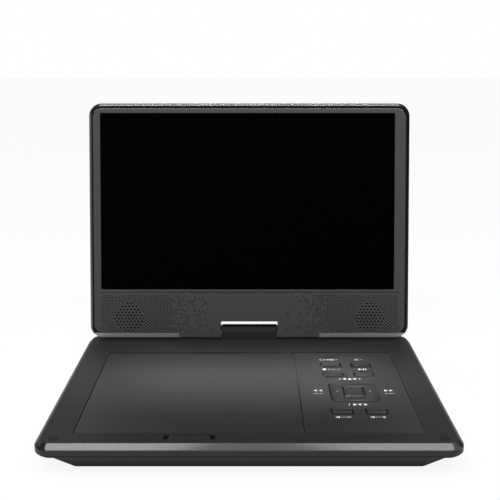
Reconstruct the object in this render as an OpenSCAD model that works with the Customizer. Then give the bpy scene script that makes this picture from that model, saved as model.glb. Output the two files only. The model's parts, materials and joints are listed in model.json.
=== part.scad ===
// Portable disc player: a flat base with a disc bay and keys, and a screen
// lid on a centre hinge that both swivels and tilts.
// X runs along the width, Y from front to back, Z up from the table.

/* [Base] */
// Width of the base
base_w = 255; // [250:1:310]
// Depth of the base
base_d = 187; // [180:1:225]
// Plan radius of the base's corners
corner_r = 10; // [8:0.5:12]
// Width and height of the bevel round the deck
rim_bevel = 3.2; // [2:0.1:4]
// Height of the upright rim wall under the bevel
rim_h = 5.5; // [5.4:0.1:8]
// Depth of the pan below the bevel
pan_drop = 15.6; // [15.2:0.1:20]
// Wall of the base's two shells
wall = 2; // [1.6:0.1:2.4]
// Thickness of the deck
deck_t = 2.4; // [2.2:0.1:3]
// Depth of the shallow panel that holds the cover and the keys
inset_depth = 0.4; // [0.2:0.1:0.6]
// Margin left and right of the shallow panel
inset_side = 21.3; // [18:0.1:24]
// Margin in front of the shallow panel
inset_front = 16.4; // [14:0.1:20]
// Pan setback at the sides, under the rim
pan_side = 5.35; // [5:0.05:8]
// Further setback of the pan's sides at the bottom
pan_side_slope = 15.3; // [12:0.1:17]
// Further setback of the pan's front at the bottom
pan_front_slope = 7.5; // [4:0.1:9]
// Height of the rubber feet
foot_h = 1.5; // [1:0.1:3]
// Radius of the rubber feet
foot_r = 5; // [4:0.5:7]

/* [Disc bay] */
// Radius of the disc
disc_r = 60; // [60:0.5:62]
// Room round the disc in its well
disc_gap = 2; // [1.5:0.1:3]
// Clear height between the well floor and the cover
bay_h = 6.8; // [6.5:0.1:7.2]
// Thickness of the disc cover
cover_t = 1.6; // [1.4:0.1:1.8]
// Gap round the disc cover
cover_gap = 0.3; // [0.2:0.05:0.5]
// Angle that the disc cover opens to
cover_open = 50; // [30:1:70]
// Radius of the hub that centres the disc
hub_r = 7.4; // [7.2:0.05:7.45]
// Radius of the turntable
table_r = 14.5; // [12:0.5:16]

/* [Keys] */
// Width of a key cap
key_w = 13.8; // [12:0.1:15]
// Depth of a key cap
key_d = 7.1; // [6:0.1:8]
// Gap round each key
key_gap = 0.3; // [0.2:0.05:0.4]
// How far the keys stand above the shallow panel
key_proud = 0.6; // [0.3:0.1:0.8]
// Travel of a key
key_travel = 0.6; // [0.3:0.1:0.6]
// Distance between the two columns of keys
key_pitch = 21.9; // [20:0.1:24]
// Distance from the keys' middle line to the right edge of the base
key_inset = 57.2; // [50:0.1:60]
// Width of the navigation ring
ring_w = 31.4; // [28:0.1:33]
// Depth of the navigation ring
ring_d = 30.2; // [28:0.1:32]
// Tilt of the navigation ring each way
ring_tilt = 2; // [1:0.5:2]

/* [Lid] */
// Thickness of the lid
lid_t = 14; // [13:0.1:17]
// How far the lid's outline stands inside the base's, at each side
lid_side = 2.1; // [1:0.1:4]
// How far the closed lid stands back from the base's front
lid_front = 2.8; // [1:0.1:6]
// Wall of the lid's back cover
lid_wall = 1.8; // [1.4:0.1:2.2]
// Thickness of the front bezel
bezel_t = 1.8; // [1.5:0.1:2.2]
// Bezel left of the screen window, from the lid's outline
margin_left = 8.9; // [8:0.1:12]
// Bezel right of the screen window
margin_right = 11.7; // [8:0.1:14]
// Bezel above the screen window
margin_top = 7.8; // [7.4:0.1:12]
// Bezel below the screen window
margin_bottom = 38.4; // [34:0.1:46]
// How far the lid leans back from upright as it stands
lean = 11.84; // [0:0.01:30]

/* [Hinge] */
// Distance from the tilt axis to the lid's lower edge
hinge_edge = 7.2; // [6.8:0.1:7.4]
// Gap between the closed lid and the deck
closed_gap = 1.3; // [1.1:0.1:2]
// Width of the hinge block
block_w = 43.4; // [36:0.1:50]
// Thickness of the hinge block
block_t = 9.8; // [9:0.1:10]
// Radius of the tilt pins
tilt_pin_r = 2; // [1.5:0.1:2.2]
// Radius of the swivel shaft
swivel_r = 2.8; // [2.4:0.1:3]
// Running clearance of pins and shafts
run_fit = 0.05; // [0.02:0.01:0.08]

/* [Jacks] */
// Radius of the headphone jack's bore
jack_r = 1.75; // [1.75:0.05:1.8]
// Radius of the power jack's bore
power_r = 2; // [1.9:0.05:2.05]

/* [Hidden] */
$fn = 48;
e = 0.01;
fit = 0.1;

// Heights
z_pan = foot_h;
z_rim = z_pan + pan_drop;
z_flange = z_rim - rim_h;
z_deck = z_rim + rim_bevel;
z_inset = z_deck - inset_depth;
z_under = z_deck - deck_t;
z_floor = z_pan + wall;
flange_t = 1.2;
lip_h = 1;
rim_foot = wall - 0.3;
pad_h = 0.4;

// Disc bay
well_r = disc_r + disc_gap;
bay_side = 7.9;
bay_end = 3.25;
cover_w = 2*(well_r + bay_side);
cover_d = 2*(well_r + bay_end);
bay_x = -base_w/2 + inset_side + cover_w/2;
bay_y = -base_d/2 + inset_front + cover_d/2;
inset_x = base_w/2 - inset_side;
inset_y0 = bay_y - cover_d/2;
inset_y1 = bay_y + cover_d/2;
cover_under = z_inset - cover_t;
well_z = cover_under - bay_h;
tray_t = 1.5;
tray_lip = 2;
barrel_r = 1;
cover_pin_r = 0.5;
cover_axis_y = inset_y1 - cover_gap - barrel_r;
cover_axis_z = z_inset - barrel_r;
hook_x = bay_x;
hook_w = 5;
hook_reach = 2.6;

// Drive, measured from the spindle
drive_drop = 5;
drive_head = 1;
plate_z = well_z - tray_t - drive_drop;
plate_t = 1.2;
rod_z = plate_z + 2.4;
rod_v = 19;
rod_r = 1.25;
sled_at = 26;
sled_travel = 32;
sled_l = 16;
screw_v = -25.5;
screw_r = 1.2;
wall_a = 10;
wall_b = 68;
rail_a = 14;
seat_z = well_z + 2.5;
damper_at = [[-24, -33], [-24, 33], [48, -33], [48, 33]];
damper_r = 4;
ball_r = 1;
sled_motor_r = 2.3;

// Keys
key_cx = base_w/2 - key_inset;
key_rows = [41.05, 22.65, -35.45];
ring_dy = -5.85;
ring_cy = bay_y + ring_dy;
flange_k = 0.8;
key_z0 = z_under - 0.2;
switch_h = 1.5;
board_z = z_under - 4.9;
board_t = 1.2;
switch_z = board_z + board_t + switch_h;
stem_z = switch_z + key_travel + 0.1;
ok_w = 13.4;
ok_d = 14.8;
ring_hole = 0.5;
ring_t = 2.2;
trunnion_z = z_under - 1;
trunnion_r = 0.6;

// Latch
latch_w = 30.7;
latch_d = 6.2;
latch_x = hook_x + 0.6;
latch_y = inset_y0 - 5.8;
knob_w = 24.5;
latch_travel = 2.5;
slide_w = 39;
slide_t = 1.5;
slide_z = z_under - 0.2 - slide_t;
keeper_t = 1;
keeper_z = slide_z - 0.2 - keeper_t;

// Lid and hinge
front_off = lid_t/2 - 0.3;
back_off = lid_t - front_off;
axis_y = base_d/2 - hinge_edge;
axis_z = z_deck + closed_gap + front_off;
lid_w = base_w - 2*lid_side;
lid_top = base_d - lid_front - hinge_edge;
lid_h = lid_top + hinge_edge;
lid_mid = (lid_top - hinge_edge)/2;
lid_bevel = 2;
low_bevel = 4.2;
back_bevel = 4.6;
ring_edge = 3.2;
ring_top = 4.6;
wrap_x = 55;
win_x0 = -lid_w/2 + margin_left;
win_x1 = lid_w/2 - margin_right;
win_y0 = -hinge_edge + margin_bottom;
win_y1 = lid_top - margin_top;
win_r = 1;
bezel_z = front_off - bezel_t;
inner_z = -back_off + lid_wall;
lcd_edge = 2.5;
lcd_t = 4.6;
lcd_z = bezel_z - 0.2 - lcd_t;
notch_gap = 0.7;
notch_top = 5.9;
notch_wall = 1.6;
block_top = 3;
block_lip = 1.3;
collar_r = block_t/2 - 0.4;
pad_x = block_w/2 - 0.7;
pad_y0 = -10.5;
pad_y1 = hinge_edge - rim_bevel - 0.3;
pad_cut = [1.6, 3.6];
block_z = z_deck + 0.6;
knuckle_r = 4;
knuckle_x0 = block_w/2 + notch_gap + notch_wall + 0.2;
knuckle_x1 = knuckle_x0 + 9.8;
pin_x0 = block_w/2 - 8;
leaf_t = 1.5;
leaf_z = -4;
leaf_x1 = knuckle_x0 + 16;
leaf_top = 42;
leaf_holes = [26, 36];
leaf_hole_x = knuckle_x0 + 8;
shaft_z0 = z_under - 4.6;
bracket_t = 2;
bracket_w = 44;
bracket_d = 14.8;
bracket_y = base_d/2 - wall - bracket_d/2 - fit;
speaker_x = lid_w/2 - 30.9;
speaker_y = 9.5;
speaker_r = 12;
plug_r = 2;
side_plug = [lid_w/2 - 9.4, 0.8];
mid_plug = [30, -0.9];
plugs = [[-side_plug[0], side_plug[1]], side_plug, [-mid_plug[0], mid_plug[1]], mid_plug];
boss_plugs = [plugs[0], plugs[1]];
hole_rows = [3, 6, 7, 8, 9, 8, 7, 6, 5, 2];
hole_pitch = 2.8;
hole_step = 2.4;
hole_r = 0.75;

// Jacks on the right side
jack_z = z_flange + flange_t + 2.1;
jack_body = 5;
jack_l = 12;
jack_x = base_w/2 - wall - fit - jack_l;
jack_ys = [-28, -12, 8];
plug_way = 2.25;
nose_r = plug_way - run_fit;
nose_x = base_w/2 - 0.3;
switch_y = 28;
switch_w = 12;
knob_l = 3.5;
knob_h = 2;
knob_travel = 3;

// Case screws
screws = [[base_w/2 - 37.5, -base_d/2 + 21.5], [base_w/2 - 83.5, -base_d/2 + 21.5],
          [base_w/2 - 37.5, base_d/2 - 15.5], [-base_w/2 + 37.5, base_d/2 - 15.5]];
boss_r = 4;
boss_z = z_floor + 6.5;
case_screw_r = 1.3;
head_r = 2.6;
head_z = z_pan + 2;

// The origin is on the table, under the middle of the open player
back_y = axis_y + (lid_top - back_bevel)*sin(lean) + back_off*cos(lean);
shift_y = -(back_y - base_d/2)/2;

// ---- Shared shapes ----

// Rectangle with round corners
module rrect(w, d, r) {
    square([w - 2*r, d], center = true);
    square([w, d - 2*r], center = true);
    for (sx = [-1, 1], sy = [-1, 1]) translate([sx*(w/2 - r), sy*(d/2 - r)]) circle(r);
}

// Upright plate with round corners, standing on z
module plate(w, d, r, z, h) translate([0, 0, z]) linear_extrude(h) rrect(w, d, r);

// Right half of a bevelled section: bottom bevel, then top bevel
function bevel_side(half, h, bottom, top) = concat(
    bottom > 0 ? [[half - bottom, 0], [half, bottom]] : [[half, 0]],
    top > 0 ? [[half, h - top], [half - top, h]] : [[half, h]]);
function mirrored(points) = [for (i = [len(points) - 1:-1:0]) [-points[i][0], points[i][1]]];

// Plate with round corners and bevelled edges
module slab(w, d, h, r, bottom = 0, top = 0) {
    rotate([90, 0, 90]) translate([0, 0, -(w/2 - r)]) linear_extrude(w - 2*r)
        polygon(concat(bevel_side(d/2, h, bottom, top), mirrored(bevel_side(d/2, h, bottom, top))));
    rotate([90, 0, 0]) translate([0, 0, -(d/2 - r)]) linear_extrude(d - 2*r)
        polygon(concat(bevel_side(w/2, h, bottom, top), mirrored(bevel_side(w/2, h, bottom, top))));
    for (sx = [-1, 1], sy = [-1, 1]) translate([sx*(w/2 - r), sy*(d/2 - r), 0])
        rotate_extrude() polygon(concat([[0, 0]], bevel_side(r, h, bottom, top), [[0, h]]));
}

// Box given by its two corners
module block(a, b) translate(a) cube(b - a);

// Cylinder along X from x0 to x1
module rod_x(r, x0, x1) translate([x0, 0, 0]) rotate([0, 90, 0]) cylinder(r = r, h = x1 - x0);

module at_table() translate([0, shift_y, 0]) children();
module at_bay(z = 0) translate([bay_x, bay_y, z]) children();
// Lid plan: x across, y up the lid from the tilt axis, z out of its front
module at_lid() translate([0, axis_y, axis_z]) rotate([90 - lean, 0, 0]) children();
module each_side() {
    children();
    mirror([1, 0, 0]) children();
}

// ---- Base shells ----

module key_hole(w, d, r) linear_extrude(deck_t + 2) rrect(w + 2*key_gap, d + 2*key_gap, r);

function key_pos(i) = [key_cx + (i % 2 == 0 ? -1 : 1)*key_pitch/2, bay_y + key_rows[floor(i/2)]];

// Posts under the deck that carry the key board
board_posts = [[key_cx - 24, bay_y + 50], [key_cx + 25, bay_y + 50],
               [key_cx - 24, bay_y - 46], [key_cx + 25, bay_y - 46]];
post_r = 2.4;

// Raised pad of the deck under the hinge block
module hinge_pad() translate([0, axis_y, z_deck - e]) linear_extrude(pad_h + e)
    polygon([[-pad_x, pad_y1], [-pad_x, pad_y0 + pad_cut[1]], [-pad_x + pad_cut[0], pad_y0],
        [pad_x - pad_cut[0], pad_y0], [pad_x, pad_y0 + pad_cut[1]], [pad_x, pad_y1]]);

module base_top_shell() color([0.13, 0.13, 0.135]) difference() {
    union() {
        difference() {
            translate([0, 0, z_flange]) slab(base_w, base_d, rim_h + rim_bevel, corner_r, rim_foot, rim_bevel);
            plate(base_w - 2*wall, base_d - 2*wall, corner_r - wall, z_flange - 1, z_under - z_flange + 1);
        }
        for (p = screws) translate([p[0], p[1], boss_z]) cylinder(r = boss_r - 0.6, h = z_under + e - boss_z);
        for (p = board_posts) translate([p[0], p[1], board_z + board_t])
            cylinder(r = post_r, h = z_under + e - board_z - board_t);
        for (s = [-1, 1]) translate([key_cx - 2, ring_cy + s*(ring_d/2 + key_gap + 1.6) - 1.4, trunnion_z - 1.2])
            cube([4, 2.8, 2.3]);
        hinge_pad();
    }
    block([-inset_x, inset_y0, z_inset], [inset_x, inset_y1, z_deck + 1]);
    block([bay_x - cover_w/2, inset_y0, z_under - 1], [bay_x + cover_w/2, inset_y1, z_deck + 1]);
    for (s = [-1, 1]) translate([bay_x + s*(cover_w/2 + 2), cover_axis_y, cover_axis_z])
        rod_x(cover_pin_r + run_fit, -2.5, 2.5);
    for (i = [0:5]) translate([key_pos(i)[0], key_pos(i)[1], z_under - 1]) key_hole(key_w, key_d, 0.8);
    translate([key_cx, ring_cy, z_under - 1]) key_hole(ring_w, ring_d, 5);
    translate([key_cx, ring_cy + ring_d/2 + 5, trunnion_z]) rotate([90, 0, 0])
        cylinder(r = trunnion_r + run_fit, h = ring_d + 10);
    translate([latch_x, latch_y, z_under - 1]) linear_extrude(deck_t + 2) rrect(latch_w, latch_d, 1);
    translate([0, axis_y, z_under - 1]) cylinder(r = swivel_r + 1, h = deck_t + 2);
    translate([0, axis_y, z_deck]) cylinder(r = collar_r + 0.3, h = 1);
    for (p = bracket_holes) translate([p[0], p[1], z_under - 1]) cylinder(r = 1.25, h = 2.5);
    for (p = screws) translate([p[0], p[1], boss_z - 1]) cylinder(r = case_screw_r + fit/2, h = z_under - boss_z + 1.5);
    for (p = board_posts) translate([p[0], p[1], board_z]) cylinder(r = 1.05, h = z_under - board_z);
    for (y = jack_ys) translate([0, y, jack_z]) rod_x(plug_way, base_w/2 - wall - 1, base_w/2 + 1);
    block([base_w/2 - wall - 1, switch_y - 4, jack_z - knob_h/2 - 0.3],
          [base_w/2 + 1, switch_y + 4, jack_z + knob_h/2 + 0.3]);
    for (p = keeper_holes) translate([p[0], p[1], z_under - 1]) cylinder(r = 0.95, h = 2.2);
}

module pan_outline(side, front, back, r, z, h) {
    w = base_w - 2*side;
    d = base_d - front - back;
    translate([0, (front - back)/2, z]) linear_extrude(h) rrect(w, d, r, $fn = 32);
}

pan_front = wall + fit;
pan_back_slope = 4;
pan_top_r = 5;
pan_low_r = 4;
module pan_solid(inset, z0, z1) hull() {
    pan_outline(pan_side + inset, pan_front + inset, pan_front + inset, pan_top_r - inset, z1 - 0.02, 0.02, $fn = 32);
    pan_outline(pan_side + pan_side_slope + inset, pan_front + pan_front_slope + inset,
                pan_front + pan_back_slope + inset, pan_low_r - inset, z0, 0.02, $fn = 32);
}

feet = [[-base_w/2 + 42, -base_d/2 + 24], [base_w/2 - 42, -base_d/2 + 30],
        [-base_w/2 + 50, base_d/2 - 20], [base_w/2 - 50, base_d/2 - 20]];
main_posts = [[-70, base_d/2 - 32], [70, base_d/2 - 32], [-70, base_d/2 - 15], [70, base_d/2 - 15]];
main_z = z_floor + 1.6;
vent_x = [34, -74];

module base_bottom_shell() color([0.1, 0.1, 0.105]) difference() {
    union() {
        difference() {
            union() {
                translate([0, 0, z_flange - lip_h]) slab(base_w - 2*(wall + fit), base_d - 2*(wall + fit),
                    flange_t + lip_h, corner_r - wall - fit, lip_h);
                pan_solid(0, z_pan, z_flange + flange_t);
            }
            pan_solid(wall, z_floor, z_flange + flange_t + 1);
        }
        for (p = screws) translate([p[0], p[1], z_floor - 1]) cylinder(r = boss_r, h = boss_z - z_floor + 1 - fit);
        for (p = main_posts) translate([p[0], p[1], z_floor - 0.5]) cylinder(r = 2.4, h = main_z - z_floor + 0.5);
    }
    for (p = screws) translate([p[0], p[1], 0]) {
        cylinder(r = head_r + 0.3, h = head_z + 2);
        cylinder(r = case_screw_r + 0.3, h = z_deck);
    }
    for (p = feet) translate([p[0], p[1], 0]) cylinder(r = foot_r + fit, h = z_pan + 0.6);
    for (x = vent_x, i = [0:6]) block([x, -base_d/2 + 62 + 6*i, 0], [x + 40, -base_d/2 + 63.6 + 6*i, z_floor + 1]);
}

module rubber_feet() color([0.06, 0.06, 0.06]) for (p = feet) translate([p[0], p[1], 0])
    rotate_extrude() polygon([[0, 0], [foot_r - 0.6, 0], [foot_r, 0.6], [foot_r, z_pan + 0.6], [0, z_pan + 0.6]]);

module base_screws() color([0.3, 0.3, 0.32]) for (p = screws) translate([p[0], p[1], 0]) difference() {
    union() {
        translate([0, 0, head_z]) cylinder(r = head_r, h = 2);
        translate([0, 0, head_z + 1.9]) cylinder(r = case_screw_r, h = z_under - 2 - head_z);
    }
    for (a = [0, 90]) rotate(a) translate([-1.4, -0.3, head_z - 1]) cube([2.8, 0.6, 1.8]);
}

// ---- Disc bay ----

module disc_tray() color([0.09, 0.09, 0.095]) difference() {
    union() {
        at_bay(z_under - tray_t) linear_extrude(tray_t) square([cover_w + 2*tray_lip, cover_d + 2*tray_lip - 0.4], center = true);
        at_bay(well_z - tray_t) cylinder(r = well_r + tray_t, h = z_under - well_z + tray_t, $fn = 96);
    }
    at_bay(well_z) cylinder(r = well_r, h = 30, $fn = 96);
    at_bay(well_z - tray_t - 1) cylinder(r = table_r - 1.5, h = 4);
    at_bay() block([0, -15, well_z - tray_t - 1], [well_r - 0.5, 15, well_z + 1]);
    // Way for the cover's hook and room for its hinge barrel
    block([hook_x - 6, inset_y0 - 3, well_z + 1], [hook_x + 6, inset_y0 + 6, z_under + 1]);
    block([bay_x - cover_w/2, inset_y1 - 3, z_under - 0.4], [bay_x + cover_w/2, inset_y1 + e, z_under + 1]);
    for (p = damper_at) at_bay(well_z - tray_t - 1) translate([p[0], p[1], 0]) cylinder(r = 1.05, h = 2.2);
    // Seat of the lifting spring
    block([bay_x - 46, inset_y1 - 9, z_under - 0.5], [bay_x - 34, inset_y1 - 3 + e, z_under + 1]);
}

module disc_cover() color([0.14, 0.14, 0.145]) difference() {
    union() {
        translate([bay_x, bay_y - barrel_r/2 - cover_gap/2, cover_under]) linear_extrude(cover_t)
            rrect(cover_w - 2*cover_gap, cover_d - cover_gap - barrel_r - cover_gap, 1);
        translate([0, cover_axis_y, cover_axis_z])
            rod_x(barrel_r, bay_x - cover_w/2 + cover_gap, bay_x + cover_w/2 - cover_gap);
        block([bay_x - cover_w/2 + cover_gap + 1, cover_axis_y - 3, cover_under],
              [bay_x + cover_w/2 - cover_gap - 1, cover_axis_y, z_inset]);
        // Stiffening rings over the disc
        for (r = [well_r - 4, 20]) at_bay(cover_under - 0.8) difference() {
            cylinder(r = r, h = 0.9, $fn = 96);
            translate([0, 0, -1]) cylinder(r = r - 1.2, h = 3, $fn = 96);
        }
        // Hook that the slider holds
        block([hook_x - hook_w/2, inset_y0 + 3, well_z + 2.5], [hook_x + hook_w/2, inset_y0 + 4.6, cover_under + 0.1]);
        block([hook_x - hook_w/2, inset_y0 + 3 - hook_reach/2, well_z + 2.5], [hook_x + hook_w/2, inset_y0 + 3.1, well_z + 4]);
    }
    for (s = [-1, 1]) translate([bay_x + s*(cover_w/2 - 3), cover_axis_y, cover_axis_z])
        rod_x(cover_pin_r, -3.5, 3.5);
}

module cover_pins() color([0.7, 0.7, 0.72]) for (s = [-1, 1])
    translate([bay_x + s*(cover_w/2 - 1.5), cover_axis_y, cover_axis_z]) rod_x(cover_pin_r, -5, 5);

// Leaf of spring steel that lifts the cover
module cover_spring() color([0.75, 0.75, 0.76])
    block([bay_x - 45.5, inset_y1 - 8.8, z_under - 0.5], [bay_x - 34.5, inset_y1 - 3.2, z_under - 0.1]);

module open_slider() color([0.08, 0.08, 0.085]) {
    translate([latch_x, latch_y, slide_z + slide_t - e]) linear_extrude(z_inset - slide_z - slide_t)
        rrect(knob_w, latch_d - 0.5, 0.8);
    for (i = [-6:6]) translate([latch_x + i*1.7 - 0.45, latch_y - latch_d/2 + 0.6, z_inset - 0.1])
        cube([0.9, latch_d - 1.2, inset_depth + 0.3]);
    block([latch_x - slide_w/2, latch_y - 4.6, slide_z], [latch_x + slide_w/2, latch_y + 4, slide_z + slide_t]);
    // Tooth behind the cover's hook
    block([hook_x - 2.2, latch_y + 3.9, slide_z], [hook_x + 2.2, inset_y0 + 3 - hook_reach/2 - 0.2, slide_z + slide_t]);
    // Ear that the spring pushes
    block([latch_x + slide_w/2 - 1.5, latch_y - 4.6, slide_z - 0.01], [latch_x + slide_w/2, latch_y - 2, slide_z + slide_t]);
}

keeper_x = slide_w/2 + 8;
keeper_holes = [[latch_x - keeper_x + 2, latch_y - 1], [latch_x + keeper_x - 2, latch_y - 1]];
module latch_keeper() color([0.12, 0.12, 0.12]) difference() {
    union() {
        block([latch_x - keeper_x, latch_y - 5, keeper_z], [latch_x + keeper_x, latch_y + 2.5, keeper_z + keeper_t]);
        for (s = [-1, 1]) block([latch_x + s*(keeper_x - 2) - 2, latch_y - 5, keeper_z],
                                [latch_x + s*(keeper_x - 2) + 2, latch_y + 2.5, z_under]);
    }
    for (p = keeper_holes) translate([p[0], p[1], keeper_z - 1]) cylinder(r = 0.95, h = 20);
}

// Light coil between the slider and the keeper's right post
module latch_spring() color([0.75, 0.75, 0.76]) {
    x0 = latch_x + slide_w/2 + 0.1;
    x1 = latch_x + keeper_x - 4.1;
    turns = 5;
    pitch = (x1 - x0 - 0.5)/(turns - 1);
    for (i = [0:turns - 1]) translate([x0 + 0.25 + i*pitch, latch_y - 3.2, slide_z + slide_t/2]) rotate([0, 90, 0])
        rotate_extrude() translate([0.55, 0]) circle(0.2, $fn = 16);
    translate([0, latch_y - 3.2, slide_z + slide_t/2]) rod_x(0.4, x0, x1);
}

// ---- Drive ----

module drive_chassis() color([0.55, 0.56, 0.58]) at_bay() difference() {
    union() {
        block([-28, -38, plate_z], [wall_b + 2, 38, plate_z + plate_t]);
        block([rail_a, -21.5, plate_z], [rail_a + 2, 21.5, rod_z + 2]);
        block([wall_b, -28, plate_z], [wall_b + 2, 21.5, rod_z + 2]);
        block([wall_a, -28.6, plate_z], [wall_a + 1.5, -22.4, rod_z + 2]);
    }
    block([rail_a + 2, -28.8, plate_z - 1], [wall_b - 2, 24, plate_z + plate_t + e]);
    block([-9, -28.5, plate_z - 1], [wall_a, -22.5, plate_z + plate_t + 1]);
    // Corners cut back to stay under the disc well
    for (s = [-1, 1]) translate([wall_b + 2, s*38, plate_z - 1]) rotate(45) cube([17, 17, 8], center = true);
    for (v = [-rod_v, rod_v]) translate([0, v, rod_z]) rod_x(rod_r + run_fit, rail_a - 1, wall_b + 3);
    translate([0, screw_v, rod_z]) rod_x(screw_r + run_fit, wall_a - 1, wall_b + 3);
    for (p = damper_at) translate([p[0], p[1], plate_z - 1]) cylinder(r = 1.6, h = 4);
}

module drive_dampers() color([0.07, 0.07, 0.07]) for (p = damper_at) at_bay() translate([p[0], p[1], plate_z + plate_t])
    rotate_extrude() polygon([[1.3, 0], [damper_r, 0], [damper_r, 1], [damper_r - 0.7, 1.6], [damper_r, 2.2],
        [damper_r, well_z - tray_t - plate_z - plate_t], [1.3, well_z - tray_t - plate_z - plate_t]]);

module drive_screws() color([0.7, 0.7, 0.72]) for (p = damper_at) at_bay() translate([p[0], p[1], plate_z - drive_head]) difference() {
    union() {
        cylinder(r = 2.4, h = drive_head);
        cylinder(r = 1, h = well_z - plate_z + drive_head - 0.6);
    }
    for (a = [0, 90]) rotate(a) translate([-1.2, -0.25, -1]) cube([2.4, 0.5, 1.6]);
}

module spindle_motor() color([0.6, 0.6, 0.62]) at_bay() difference() {
    union() {
        translate([0, 0, plate_z + plate_t]) cylinder(r = 10, h = 3.6);
        translate([0, 0, plate_z + plate_t]) cylinder(r = 3, h = 4.2);
    }
    translate([0, 0, plate_z + plate_t + 0.8]) cylinder(r = 1 + run_fit, h = 10);
}

module spindle_shaft() color([0.75, 0.75, 0.77]) at_bay(plate_z + plate_t + 0.9)
    cylinder(r = 1, h = seat_z + 2 - plate_z - plate_t - 0.9);

module turntable() color([0.16, 0.16, 0.17]) at_bay() difference() {
    rotate_extrude() polygon([[0, seat_z - 2.4], [4, seat_z - 2.4], [4, seat_z - 1.6], [table_r, seat_z - 1.6], [table_r, seat_z],
        [hub_r, seat_z], [hub_r, seat_z + 2], [hub_r - 1, seat_z + 2.8], [0, seat_z + 2.8]]);
    translate([0, 0, seat_z - 3]) cylinder(r = 1, h = 5);
    for (a = [0, 120, 240]) rotate(a) translate([0, 0, seat_z + 1.2]) rod_x(ball_r + fit, hub_r - 0.8 - ball_r - fit, hub_r + 1);
}

module turntable_pad() color([0.05, 0.05, 0.05]) at_bay(seat_z) difference() {
    cylinder(r = table_r - 0.4, h = 0.4);
    translate([0, 0, -1]) cylinder(r = table_r - 4.5, h = 3);
}

module clamp_balls() color([0.8, 0.8, 0.82]) at_bay() for (a = [0, 120, 240])
    rotate(a) translate([hub_r - 0.8, 0, seat_z + 1.2]) sphere(ball_r, $fn = 24);

module guide_rods() color([0.8, 0.8, 0.82]) at_bay() for (v = [-rod_v, rod_v])
    translate([0, v, rod_z]) rod_x(rod_r, rail_a, wall_b + 2);

module pickup_sled() color([0.35, 0.36, 0.38]) at_bay() translate([sled_at, 0, 0]) difference() {
    union() {
        block([-sled_l/2, -22.4, rod_z - 2.2], [sled_l/2, 22.4, rod_z + 1.8]);
        block([-4, -28.4, rod_z - 2], [4, -22, rod_z + 1.8]);
        block([-3.5, -9, rod_z + 1.7], [3.5, 9, well_z - 0.6]);
    }
    for (v = [-rod_v, rod_v]) translate([0, v, rod_z]) rod_x(rod_r + run_fit, -sled_l, sled_l);
    translate([0, screw_v, rod_z]) rod_x(screw_r + run_fit, -sled_l, sled_l);
    translate([0, 0, well_z - 1.2]) cylinder(r = 2.5, h = 4);
}

module pickup_lens() color([0.35, 0.2, 0.5]) at_bay() translate([sled_at, 0, well_z - 1.2])
    rotate_extrude() polygon([[0, 0], [2.5, 0], [2.5, 1], [1.8, 1.2], [1, 1.4], [0, 1.5]]);

module lead_screw() color([0.8, 0.8, 0.82]) at_bay() translate([0, screw_v, rod_z]) {
    rod_x(screw_r, wall_a - 0.5, wall_b + 2);
    rod_x(0.5, wall_a - 4, wall_a);
}

module sled_motor() color([0.5, 0.5, 0.52]) at_bay() translate([0, screw_v, rod_z]) difference() {
    rod_x(sled_motor_r, -8, wall_a);
    rod_x(screw_r + run_fit, wall_a - 0.6, wall_a + 1);
    rod_x(0.5 + run_fit, wall_a - 4.1, wall_a + 1);
}

// ---- Electronics in the base ----

module main_board() {
    y0 = base_d/2 - 37;
    y1 = base_d/2 - 10.5;
    color([0.05, 0.3, 0.15]) difference() {
        block([-76, y0, main_z], [76, y1, main_z + 1.6]);
        for (p = main_posts) translate([p[0], p[1], main_z - 1]) cylinder(r = 1.1, h = 4);
    }
    color([0.08, 0.08, 0.08]) {
        for (x = [-52, -20, 12]) block([x, y0 + 6, main_z + 1.5], [x + 14, y0 + 20, main_z + 3]);
        for (x = [40, 54]) block([x, y0 + 4, main_z + 1.5], [x + 8, y0 + 18, main_z + 4]);
    }
}

module battery_pack() color([0.2, 0.3, 0.5])
    translate([base_w/2 - 60.5, -base_d/2 + 57.5, z_floor]) linear_extrude(8) rrect(54, 58, 3);

module key_board() color([0.05, 0.3, 0.15]) difference() {
    block([key_cx - 27, bay_y - 49, board_z], [key_cx + 28, bay_y + 53, board_z + board_t]);
    for (p = board_posts) translate([p[0], p[1], board_z - 1]) cylinder(r = 1.05, h = 4);
}

switches = concat([for (i = [0:5]) key_pos(i)], [[key_cx, ring_cy], [key_cx - 11, ring_cy], [key_cx + 11, ring_cy]]);
module tact_switches() color([0.3, 0.3, 0.32]) for (p = switches) translate([p[0], p[1], board_z + board_t]) {
    translate([-2.4, -2.4, 0]) cube([4.8, 4.8, switch_h - 0.4]);
    cylinder(r = 1.3, h = switch_h);
}

module key(i) color([0.15, 0.15, 0.155]) translate([key_pos(i)[0], key_pos(i)[1], 0]) {
    plate(key_w, key_d, 0.8, key_z0 - e, z_inset + key_proud - key_z0 + e);
    plate(key_w + 2*flange_k, key_d + 2*flange_k, 0.8, key_z0 - flange_k, flange_k);
    translate([0, 0, stem_z]) cylinder(r = 1.5, h = key_z0 - stem_z);
}

module navigation_ring() color([0.16, 0.16, 0.165]) translate([key_cx, ring_cy, 0]) {
    top = z_inset + key_proud;
    difference() {
        plate(ring_w, ring_d, 4.7, top - ring_t, ring_t);
        plate(ok_w + 2*ring_hole, ok_d + 2*ring_hole, 1.5, top - ring_t - 1, ring_t + 2);
    }
    for (s = [-1, 1]) {
        translate([-1.5, s*(ring_d/2 - 1.5) - 1.2, trunnion_z - 0.8]) cube([3, 2.4, top - ring_t - trunnion_z + 0.9]);
        translate([0, s*(ring_d/2 + 0.85), trunnion_z]) rotate([90, 0, 0]) cylinder(r = trunnion_r, h = 3.9, center = true);
        translate([s*11, 0, stem_z]) cylinder(r = 1.2, h = top - ring_t - stem_z + 0.1);
    }
}

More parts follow.
